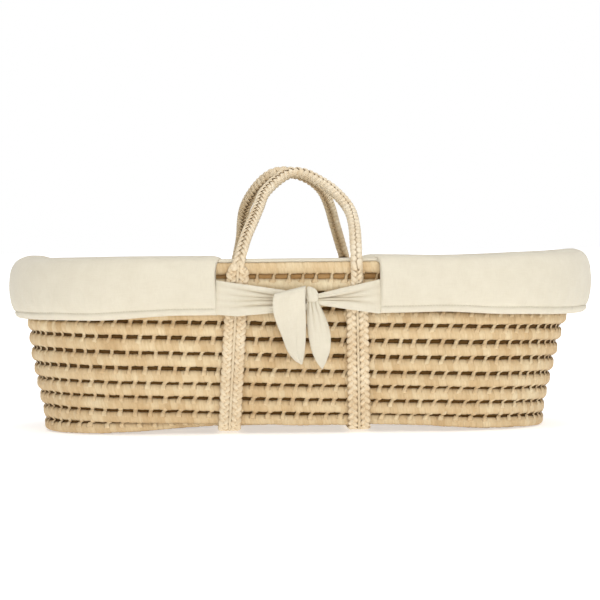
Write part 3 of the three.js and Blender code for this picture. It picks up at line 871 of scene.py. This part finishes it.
# ---- cotton skirt halves
SKIRT_STEP = 3.5 * MM
SEWING_PITCH, SEWING_LENGTH, THREAD_HALF = 4.2 * MM, 3.0 * MM, 0.35 * MM
# Section of a skirt half, [outside the rim's edge, above the rim's top], in millimetres:
# the face from the tuck inside, over the rim and down to the hem, then the lining back up.
SKIRT_FACE = [
    (-29.5, -25), (-30.5, -8), (-29, 3), (-24, 8.5), (-15, 10.6), (-5, 9.6), (4, 5.6), (10, -3),
    (13.2, -14), (14.4, -30), (13.8, -46), (12.0, -60), (9.4, -69.6),
]
SKIRT_HEM = [(7.3, -71.2), (8.8, -72.6), (9.3, -75.4), (8.4, -78.4), (5.6, -80.8), (1.6, -81.6),
             (-3.2, -80.4)]
SKIRT_LINING = [(-6.5, -76.5), (1.5, -66), (4.5, -48), (5, -30), (4.6, -12), (0.5, 1.6), (-10, 4.6),
                (-20, 4.6), (-23.4, 2), (-23.8, -8), (-25.4, -24)]
FACE_POINTS, LINING_POINTS = 46, 26
EDGE_ROUND = 16 * MM  # length over which a half thins out to its edge
# What differs between the halves: how far the right one's top dips and its hem rises in the middle,
# and how far each end is drawn in, low down and above.
SKIRTS = {
    "left": dict(seed=5, dip=0.0, hem_rise=0.0, end_low=6.0 * MM, end_high=1.8 * MM),
    "right": dict(seed=6, dip=2.4 * MM, hem_rise=3.2 * MM, end_low=3.2 * MM, end_high=0.0),
}


def skirt_section():
    return np.vstack([spline(SKIRT_FACE, FACE_POINTS), SKIRT_HEM, spline(SKIRT_LINING, LINING_POINTS)]) * MM


def skirt_lift(high, normal, on_end):
    """How far a spot of the section is raised: the hem rides up at the front, the rear top sits
    lower, and the ends stand a little higher."""
    hem = -high * lerp(0.110, 0.030, on_end) * smoothstep(-high, 0, 30 * MM)
    front_to_rear = lerp(-1.6, -4.6, (normal[:, 1] + 1) / 2) * MM
    ends = np.where(normal[:, 0] > 0, 5.0, -1.0) * MM * normal[:, 0] ** 4
    ends = ends + 4.2 * MM * np.exp(-((normal[:, 0] + 0.95) / 0.045) ** 2)
    return hem + (front_to_rear + ends) * smoothstep(high, -28 * MM, 4 * MM)


def skirt_turns(side, straight, radius):
    """Where a half's rows lie round the oval, from the front gap to the back, and the distances
    along it. Closer rows round its edges off."""
    perimeter = 4 * straight + TURN * radius
    start = abs(GAP_LEFT if side == "left" else GAP_RIGHT) / perimeter
    end = 0.5 - start
    steps = np.linspace(start, end, int((end - start) * perimeter / SKIRT_STEP))
    closing = np.array([0.4, 1.1, 2.2]) * MM / perimeter
    turn = np.sort(np.concatenate([steps, start + closing, end - closing]))
    if side == "right":
        turn = 1 - turn
    return turn, np.abs(turn - turn[0]) * perimeter


def skirt_piece(side):
    """One padded half, from its edge at the front gap round the end to the edge at the back."""
    section = skirt_section()
    own = SKIRTS[side]
    seed = own["seed"]
    radius = RIM_HALF[1]
    straight = RIM_HALF[0] - radius
    turn, along = skirt_turns(side, straight, radius)
    middle, _, normal = oval(turn, straight, radius)
    on_end = smoothstep(np.abs(middle), straight - 30 * MM, straight + 90 * MM)
    from_edge = np.minimum(along, along[-1] - along)
    dip = own["dip"] * np.exp(-((from_edge - 0.125) / 0.075) ** 2)
    hem_rise = own["hem_rise"] * np.exp(-((from_edge - 0.155) / 0.095) ** 2)
    edge_round = 1 - np.sqrt(1 - np.clip(1 - from_edge / EDGE_ROUND, 0, 1) ** 2)
    rings = []
    for out, high in section:
        low = np.clip(-(high + 25 * MM) / (55 * MM), 0, 1)
        face = 1.0 if out > 6 * MM or high > 5 * MM else 0.3
        on_top = smoothstep(high, -28 * MM, 4 * MM)
        puff = 1.2 * MM * wobble(along + 0.5 * high, 0.17, seed)
        puff = puff + 0.5 * MM * wobble(along - high, 0.05, seed + 1)
        puff = puff + 0.5 * MM * low ** 2 * wobble(along, 0.019, seed + 4)
        gather = 0.7 * MM * low * on_end * np.sin(along / (21 * MM) * TURN + 2 * wobble(along, 0.1, 9))
        pinch = -2.2 * MM * edge_round * (face if out > 0 else 0)
        pinch = pinch - (own["end_low"] * low ** 3 + own["end_high"] * (1 - low)) * on_end
        sink = -4.5 * MM * edge_round * smoothstep(high, -4 * MM, 8 * MM)
        sag = 0.7 * MM * wobble(along, 0.22, seed + 2) * (0.5 + low) * face
        x, y, _ = oval(turn, straight, radius + out + (puff + gather) * face + pinch)
        z = RIM_TOP + high + skirt_lift(high, normal, on_end) + sag + sink
        z = z - dip * on_top + hem_rise * smoothstep(-high, 20 * MM, 60 * MM)
        rings.append(np.stack([x, y, z], -1))
    rings = np.stack(rings, 1)
    across = lengths_along(section)
    order = -1 if side == "left" else 1  # keeps the faces turned outwards
    piece = tube_piece(f"liner_skirt_{side}_cover", COTTON, rings[:, ::order], along, across[::order])
    finish_piece(piece, "basket", "cotton_cover", f"liner_skirt_{side}")
    return rings


def stitch_line(name, points, normals):
    """A row of sewing stitches along a line of points."""
    along = lengths_along(points)
    count = int(along[-1] / SEWING_PITCH)
    made = Builder()
    ring = loop_angles(5)
    for i in range(count):
        at = (i + 0.2) * SEWING_PITCH
        s = np.linspace(at, at + SEWING_LENGTH, 4)
        line = np.stack([np.interp(s, along, points[:, k]) for k in range(3)], 1)
        normal = unit(np.stack([np.interp(s, along, normals[:, k]) for k in range(3)], 1))
        tangent = unit(np.gradient(line, axis=0))
        side = np.cross(normal, tangent)
        rise = np.array([-0.4, 0.35, 0.35, -0.4])[:, None] * THREAD_HALF * normal
        rings = rings_round(line + rise, ring, THREAD_HALF * side, THREAD_HALF * normal)
        made.grid(rings, s, ring / TURN * 0.002, 0.5, 0.0)
    finish_piece(made.build(name, THREAD), "basket", "cotton_cover")


def make_skirts():
    for side in ("left", "right"):
        rings = skirt_piece(side)
        seam = rings[4:-4, FACE_POINTS]  # the first point below the face: the hem's seam
        out = unit(np.cross(np.gradient(seam, axis=0), [0, 0, 1.0]))
        out *= np.sign(np.sum(out * (seam - [GAP_CENTRE, 0, 0]), 1, keepdims=True))
        stitch_line(f"liner_skirt_{side}_hem_stitching", seam + out * 0.15 * MM, out)


# ---- liner tub and mattress
# The liner's rolled lip over the rim, in millimetres: inwards from its outer face, and below its top.
LINER_LIP = [(-1.5, 5.6), (-5.0, 5.4), (-7.8, 5.4), (-9.2, 4.0), (-8.8, 2.0), (-6.0, 0.4), (0, -0.4),
             (4.0, -0.2), (6.6, 1.0)]
LINER_FLOOR = (28 * MM, 32 * MM)
REAR_SINK = 3.6 * MM  # how much lower the lip lies at the back
MATTRESS_BOTTOM, MATTRESS_THICK = 33 * MM, 30 * MM
# The mattress's rows: the share of its half width, and the height above its bottom in millimetres.
MATTRESS_SIDE = [(0.02, 0.2), (0.3, 0.2), (0.6, 0.2), (0.85, 0.3), (0.95, 0.9), (0.985, 2.5), (1.0, 6),
                 (1.012, 11), (1.014, 15), (1.012, 19), (1.0, 24), (0.985, 27.3), (0.95, 29.2)]
MATTRESS_CROWN = [(0.9, 30.2), (0.8, 31.4), (0.65, 32.4), (0.45, 33.0), (0.25, 33.3), (0.02, 33.4)]


def make_liner():
    """The padded inner wall and floor, softly gathered, as one closed tub."""
    outer_gap = ROW_DEPTH + 1.5 * MM
    floor_low, floor_high = LINER_FLOOR
    heights = np.linspace(floor_high + 4 * MM, LINER_TOP - 3 * MM, 26)
    turn = np.linspace(0, 1, 560, endpoint=False)
    behind = -np.cos(turn * TURN)
    rows = []

    def ring(inward, z, soft):
        sink = REAR_SINK * smoothstep(behind, 0.2, 0.9) * smoothstep(z, 0.19, LINER_TOP)
        radius = half_width_at(z) - outer_gap - inward
        folds = soft * (0.8 * MM * wobble(np.sin(turn * TURN) * 0.5 + turn * 2, 0.12, 40)
                        + 0.5 * MM * np.sin(turn * TURN * 64 + 3 * np.sin(turn * TURN * 5)))
        point, _ = on_oval(turn, radius + folds, z - sink)
        return point

    for share in (0.02, 0.35, 0.7, 0.95):
        rows.append(ring(float(half_width_at(floor_low)) * (1 - share), floor_low, 0))
    for z in heights:
        rows.append(ring(0.6 * MM, z, 0.15))
    for inward, below in LINER_LIP:
        rows.append(ring(inward * MM, LINER_TOP - below * MM, 0.15))
    for z in heights[::-1]:
        rows.append(ring(LINER_THICKNESS - 0.6 * MM, z, 1.0 if z < LINER_TOP - 20 * MM else 0.5))
    for share in (0.93, 0.7, 0.35, 0.02):
        inward = LINER_THICKNESS + float(half_width_at(floor_high)) * (1 - share)
        rows.append(ring(inward - LINER_THICKNESS * 0.5, floor_high, 0))
    rings = np.stack(rows, 0)
    front = rings[:, 0]
    # Painted shade on the tub's outer face below the rim: full low down, a little less above 190 mm.
    outside = (np.arange(len(rows)) < 4 + len(heights)) & (front[:, 2] < 0.238)
    painted_shade = np.where(outside, lerp(1.0, 0.8, smoothstep(front[:, 2], 0.19, 0.21)), 0)
    piece = tube_piece("liner_tub_padding", LINING, rings, lengths_along(front), turn * 2.0,
                       painted_shade=painted_shade[:, None])
    finish_piece(piece, "basket", "cotton_cover", "liner_tub")


def make_mattress():
    """A crowned pad in a cotton sheet, pulled in a little between its ends, with a piped edge."""
    low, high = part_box("mattress")
    turn = np.linspace(0, 1, 360, endpoint=False)
    radius = (high.y - low.y) / 2
    straight = float(straight_at(MATTRESS_BOTTOM + MATTRESS_THICK / 2))
    offset = (low.x + high.x) / 2
    rows = []
    for share, z in MATTRESS_SIDE + MATTRESS_CROWN:
        pull = 1 - 0.006 * np.cos(turn * TURN * 2)
        crease = 0.4 * MM * wobble(turn * 2.0, 0.09, 50) * (1 if z > 25 else 0)
        level = np.full_like(turn, MATTRESS_BOTTOM + z * MM)
        length = straight * (0.35 + 0.65 * min(share * 1.2, 1))
        x, y, _ = oval(turn, length, radius * share * pull * 0.975)
        x = x + offset
        rows.append(np.stack([x, y, level - arch(x, level) + crease], -1))
    rings = np.stack(rows, 0)
    piece = tube_piece("mattress_pad", SHEET, rings, lengths_along(rings[:, 0]), turn * 1.7)
    finish_piece(piece, "mattress", "mattress_cotton", "mattress")


# ---- ties, knot and tails
TIE_OUT = 209 * MM  # how far the ties lie from the middle plane
CLOTH_HALF = 1.1 * MM
KNOT_CENTRE = (11 * MM, -(TIE_OUT + 5.5 * MM), 195.5 * MM)
KNOT_HALF = (8.4 * MM, 6.4 * MM, 10.2 * MM)
TIE_TUCK = 5 * MM  # how far a tie runs under its cover and into the knot


def cloth_piece(node_name, columns, out_shape, shade=None):
    """A cloth strip as a closed sheet, and its flat area. `columns` is rows of (x, z) points,
    `out_shape` their distance from the middle plane and `shade` the painted shade in their creases."""
    mid = np.stack([columns[..., 0], -out_shape, columns[..., 1]], -1)
    normal = unit(np.cross(np.gradient(mid, axis=0), np.gradient(mid, axis=1)))
    normal *= np.where(normal[..., 1:2] > 0, -1, 1)
    rings = sheet_ring(mid + normal * CLOTH_HALF, mid - normal * CLOTH_HALF)
    u = lengths_along(mid[:, mid.shape[1] // 2])
    v = lengths_along(rings[len(rings) // 2])
    painted_shade = 0.0 if shade is None else sheet_ring(shade, 0 * shade)
    piece = tube_piece(node_name + "_cloth", COTTON, rings, u, v, 0.5, painted_shade)
    return piece, node_name, float(area_of(mid))


def area_of(mid):
    a = mid[1:, :-1] - mid[:-1, :-1]
    b = mid[:-1, 1:] - mid[:-1, :-1]
    return np.linalg.norm(np.cross(a, b), axis=-1).sum()


# Each tie's top and bottom edges (along from the cover, height) and its creases (height as a
# share of the cloth at the cover, then at the knot).
TIES = {
    "left": dict(top=[(0, 217), (0.3, 211), (0.65, 202.5), (1, 196)],
                 low=[(0, 169.5), (0.1, 167.5), (0.35, 167), (0.65, 169), (1, 175)],
                 creases=[(0.88, 0.70), (0.66, 0.60), (0.44, 0.52), (0.20, 0.42)]),
    "right": dict(top=[(0, 216.5), (0.3, 209), (0.65, 200.5), (1, 195)],
                  low=[(0, 169.5), (0.1, 168.5), (0.35, 171), (0.65, 175.5), (1, 182)],
                  creases=[(0.80, 0.62), (0.56, 0.54), (0.30, 0.42)]),
}


def tie_columns(side, cover_x, knot_x, rows=56, across=49):
    """The gathered tie from a skirt's edge to the knot: (x, z) points and distance outwards."""
    t = np.linspace(0, 1, rows)[:, None]
    w = np.linspace(0, 1, across)[None, :]
    shape = TIES[side]
    top = spline(shape["top"], rows)[:, 1:]
    low = spline(shape["low"], rows)[:, 1:]
    gathered = smoothstep(t, 0.04, 0.8)
    out = TIE_OUT - 1.6 * MM + 2.4 * MM * smoothstep(t, 0.02, 0.2)
    shade = 0 * w * t
    out = out + 4.0 * MM * np.sin(np.pi * w) ** 0.7 * lerp(0.3, 1.0, t)
    for k, (at_cover, at_knot) in enumerate(shape["creases"]):
        middle = lerp(at_cover, at_knot, t ** 0.8) + 0.015 * np.sin(7 * t + 2 * k)
        width = lerp(0.14, 0.10, t)
        crease = np.clip(1 - np.abs(w - middle) / width, 0, 1) ** 1.4
        out = out - lerp(0.2, 6.0, gathered) * MM * crease
        shade = np.maximum(shade, crease * lerp(0.1, 0.75, gathered))
    out = out + 0.5 * MM * gathered * np.sin(w * 34 + 3 * t) + 0.4 * MM * np.sin(9 * t + 4 * w)
    x = lerp(cover_x, knot_x, t) + 0 * w
    return np.stack([x, (low + (top - low) * w) * MM], -1), out, shade


def leaf_columns(left, right, rows=40, across=17):
    """A tail between two edge curves of (x, z) millimetre points that meet at the tip."""
    a, b = spline(left, rows) * MM, spline(right, rows) * MM
    w = np.linspace(0, 1, across)[None, :, None]
    return lerp(a[:, None], b[:, None], w)


def knot_piece(name):
    """The wrap round the ties: a squarish bead of cloth, higher on its left, with soft pleats."""
    rows, around = 30, 56
    theta = np.linspace(0.10, math.pi - 0.10, rows)[:, None]
    phi = loop_angles(around)[None, :]
    waist = np.sin(theta) ** 0.55 * (1 - 0.07 * np.cos(theta))
    square = (np.abs(np.cos(phi)) ** 3.2 + np.abs(np.sin(phi)) ** 3.2) ** (-1 / 3.2)
    pleat = 1 + 0.09 * np.cos(6 * phi + 4 * np.cos(theta)) * np.sin(theta)
    pleat = pleat + 0.04 * np.cos(13 * phi - 5 * theta)
    x = KNOT_HALF[0] * waist * square * np.cos(phi) * pleat
    y = KNOT_HALF[1] * waist * square * np.sin(phi) * pleat
    z = KNOT_HALF[2] * np.cos(theta) - 0.42 * x * np.clip(0.4 + np.cos(theta), 0, 1)
    rings = np.stack([x, y, z + 0 * phi], -1)[:, ::-1] + np.array(KNOT_CENTRE)
    return tube_piece(name, COTTON, rings, theta[:, 0] * KNOT_HALF[2], phi[0] * KNOT_HALF[0])


# The tails' left and right edges, from the knot to the tip: (x, z) in millimetres.
LONG_TAIL = (
    [(-41, 197), (-44, 188), (-43, 171), (-38, 155), (-31, 138), (-24, 119), (-14, 106), (-5, 100)],
    [(2, 207.5), (1, 197), (1, 182), (1.5, 165), (1.5, 148), (0.5, 130), (-1.5, 114), (-4.6, 100)],
)
SHORT_TAIL = (
    [(5, 193), (3.2, 182), (3.2, 168), (4.5, 149), (7, 131), (11, 114), (17, 101), (23.4, 92.5)],
    [(17, 193), (21, 181), (27.5, 167), (33, 151), (35.5, 136), (34.5, 118), (30, 104), (24.4, 92.5)],
)


def tail_shares(columns):
    """Shares along a tail, and across it from -1 to 1."""
    return np.linspace(0, 1, columns.shape[0])[:, None], np.linspace(-1, 1, columns.shape[1])[None, :]


def long_tail(node_name):
    """The wide tail: it comes over the knot, falls flat, and has one long crease."""
    columns = leaf_columns(*LONG_TAIL)
    t, w = tail_shares(columns)
    over = 9.5 * MM * np.exp(-(t / 0.30) ** 2) + 5.5 * MM * (1 - t) + 4.8 * MM * (1 - w ** 2) * (0.4 + t)
    over = over - 5.5 * MM * np.clip(1 - t / 0.07, 0, 1) ** 2
    ripple = 0.9 * MM * np.sin(w * 4.2 + 3 * t) * (1 - 0.5 * t)
    ripple = ripple - 1.6 * MM * np.exp(-((w - 0.75 + 0.9 * t) / 0.16) ** 2) * smoothstep(t, 0.1, 0.4)
    return cloth_piece(node_name, columns, TIE_OUT + 4 * MM + over + ripple)


def short_tail(node_name):
    """The narrow tail: it curls forwards and fans out in pleats below the knot."""
    columns = leaf_columns(*SHORT_TAIL)
    t, w = tail_shares(columns)
    curl = 6.0 * MM * (1 - w ** 2) * np.sin(np.pi * np.clip(t * 1.1 + 0.08, 0, 1)) + 3.5 * MM * (1 - t)
    fan = np.exp(-(t / 0.35) ** 2)
    pleats = np.sin(11 * w + 5 * t)
    crease = -1.0 * MM * np.exp(-((w + 0.25) / 0.18) ** 2) * (1 - t) + 1.5 * MM * fan * pleats
    shade = 0.45 * fan * np.clip(-pleats, 0, 1)
    return cloth_piece(node_name, columns, TIE_OUT + 1 * MM + curl + crease, shade)


def finish_cloth(piece, node_name):
    """Attaches a tie or tail to the basket and hides the part that it stands for."""
    finish_piece(piece, "basket", "cotton_cover", node_name)


def make_ties(run):
    """The set at the front, and the same set turned half round for the back."""
    knot_x = KNOT_CENTRE[0]
    spans = {"left": (GAP_LEFT - TIE_TUCK, knot_x - TIE_TUCK),
             "right": (GAP_RIGHT + TIE_TUCK, knot_x + TIE_TUCK)}
    cloths = []
    for side, (cover, end) in spans.items():
        cloths.append(cloth_piece(f"{run}_tie_{side}", *tie_columns(side, cover, end)))
    cloths += [long_tail(f"{run}_long_tail"), short_tail(f"{run}_short_tail")]
    knot = knot_piece(f"{run}_knot_wrap")
    if run == "rear":
        about = Matrix.Translation((2 * GAP_CENTRE, 0, 0)) @ Matrix.Rotation(math.pi, 4, "Z")
        for piece in [cloth[0] for cloth in cloths] + [knot]:
            piece.data.transform(about)
    for piece, node_name, area in cloths:
        finish_cloth(piece, node_name)
    finish_piece(knot, "basket", "cotton_cover", f"{run}_knot")


# ---- stage, light and camera
LENS, SENSOR = 182.3, 36
CAMERA_TARGET = Vector((0, 0, 0.183))
CAMERA_DISTANCE = 4.405
CAMERA_AZIMUTH, CAMERA_ELEVATION, CAMERA_ROLL = [math.radians(a) for a in (-1.6, 1.4, -0.6)]
# Each soft box: where it is, where it points, its size and its power.
LIGHTS = {
    "key": ((0.5, -3.1, 1.7), (0, 0, 0.15), (2.2, 1.2), 27),
    "top": ((0.2, -0.6, 2.8), (0, 0, 0.1), (2.6, 1.4), 35),
    "fill": ((-0.6, 2.8, 2.0), (0, 0, 0.15), (2.2, 1.2), 11),
}
WHITE = (1, 1, 1)
SKY = [(0.0, WHITE), (0.13, WHITE), (0.28, (0.36, 0.36, 0.37)), (0.7, (0.32, 0.32, 0.34))]
FLOOR_REACH = 30
FLOOR_DROP = 0.4 * MM


def turn_to(thing, direction, roll=0.0):
    """Turns a camera or a light to look along the direction."""
    thing.rotation_mode = "QUATERNION"
    look = direction.to_track_quat("-Z", "Y")
    thing.rotation_quaternion = look @ Matrix.Rotation(roll, 4, "Z").to_quaternion()


def make_camera():
    camera = add_object("camera", bpy.data.cameras.new("camera"))
    bpy.context.scene.camera = camera
    camera.data.lens, camera.data.sensor_width, camera.data.clip_end = LENS, SENSOR, 60
    level = math.cos(CAMERA_ELEVATION)
    back = Vector((math.sin(CAMERA_AZIMUTH) * level, -math.cos(CAMERA_AZIMUTH) * level,
                   math.sin(CAMERA_ELEVATION)))
    camera.location = CAMERA_TARGET + back * CAMERA_DISTANCE
    turn_to(camera, -back, CAMERA_ROLL)


def make_lights():
    for name, (location, aim, size, power) in LIGHTS.items():
        light = add_object(name, bpy.data.lights.new(name, "AREA"))
        light.data.shape = "RECTANGLE"
        light.data.size, light.data.size_y = size
        light.data.energy = power
        light.location = location
        turn_to(light, Vector(aim) - Vector(location))


def make_world():
    """A sky that is white near the horizon, behind the basket, and grey above."""
    world = bpy.data.worlds.new("studio")
    bpy.context.scene.world = world
    world.use_nodes = True
    graph = Graph(world.node_tree)
    parts = graph.node("SeparateXYZ")
    graph.links.new(graph.node("TexCoord").outputs["Generated"], parts.inputs[0])
    height = graph.maths("ABSOLUTE", parts.outputs["Z"])
    graph.feed(graph.nodes["Background"], {"Color": graph.ramp(height, SKY), "Strength": 1.0})


def make_floor():
    """A pale floor that glows as painted light, whiter away from the basket, so that it has no horizon and
    the basket's shadow on it is faint.
    """
    mesh = bpy.data.meshes.new("floor")
    corners = [(x * FLOOR_REACH, y * FLOOR_REACH, 0) for x, y in ((-1, -1), (1, -1), (1, 1), (-1, 1))]
    mesh.from_pydata(corners, [], [(0, 1, 2, 3)])
    material, graph, shader = new_material("pale_floor", (0.9, 0.9, 0.9), 0.9)
    away = graph.node("VectorMath", operation="LENGTH")
    graph.links.new(graph.node("TexCoord").outputs["Object"], away.inputs[0])
    glow = graph.ranged(away.outputs["Value"], 0.5, 1.0, 0.6, 3.0)
    graph.feed(shader, {"Emission Color": WHITE, "Emission Strength": glow})
    mesh.materials.append(material)
    floor = add_object("floor", mesh)
    floor.location.z = -FLOOR_DROP


bpy.context.scene.view_settings.view_transform = "Standard"
make_camera()
make_world()
make_floor()
make_lights()
make_coils()
make_lacing()
make_handles()
make_base_straps()
make_liner()
make_mattress()
make_skirts()
make_ties("front")
make_ties("rear")
